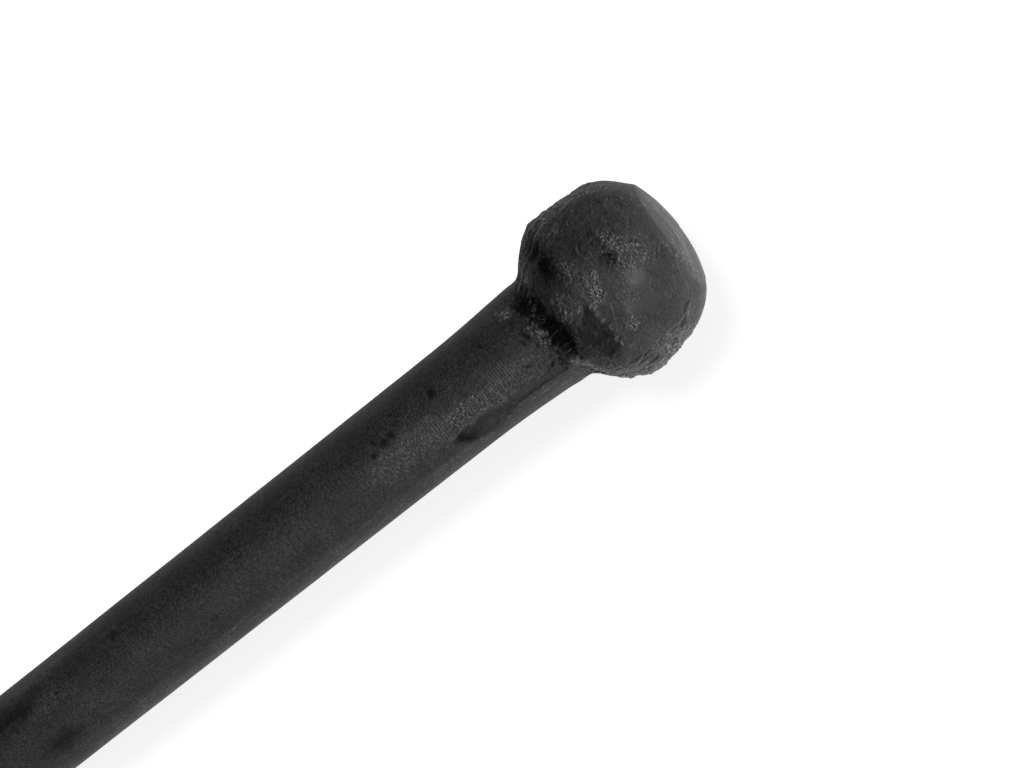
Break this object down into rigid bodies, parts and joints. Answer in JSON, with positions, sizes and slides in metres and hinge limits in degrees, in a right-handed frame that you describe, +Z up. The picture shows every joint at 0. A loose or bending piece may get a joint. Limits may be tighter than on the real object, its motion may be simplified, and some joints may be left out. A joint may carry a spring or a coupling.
{
  "type": "forged rail bar",
  "caption": "Forged round steel bar with a ball and striking face at one end and a chisel wedge at the other, for driving, prying and lining railway track.",
  "frame": {"origin": "on the ground, under the middle of the box that holds the bar as it lies", "axes": "+X along the bar towards the ball and its striking face, +Z up from the ground, +Y across the bar and the width of the wedge"},
  "size_m": [1, 0.0522, 0.0522],
  "materials": {
    "black_lacquer": "thin satin black lacquer over forging scale, with a fine orange-peel grain",
    "ground_edge": "ground steel bevels under the same thin black lacquer, worn through at the edge"
  },
  "bodies": {
    "root": {"ball_head": "black_lacquer", "neck": "black_lacquer", "shank": "black_lacquer", "square_taper": "black_lacquer", "wedge": "black_lacquer", "cutting_edge": "ground_edge"}
  },
  "joints": []
}
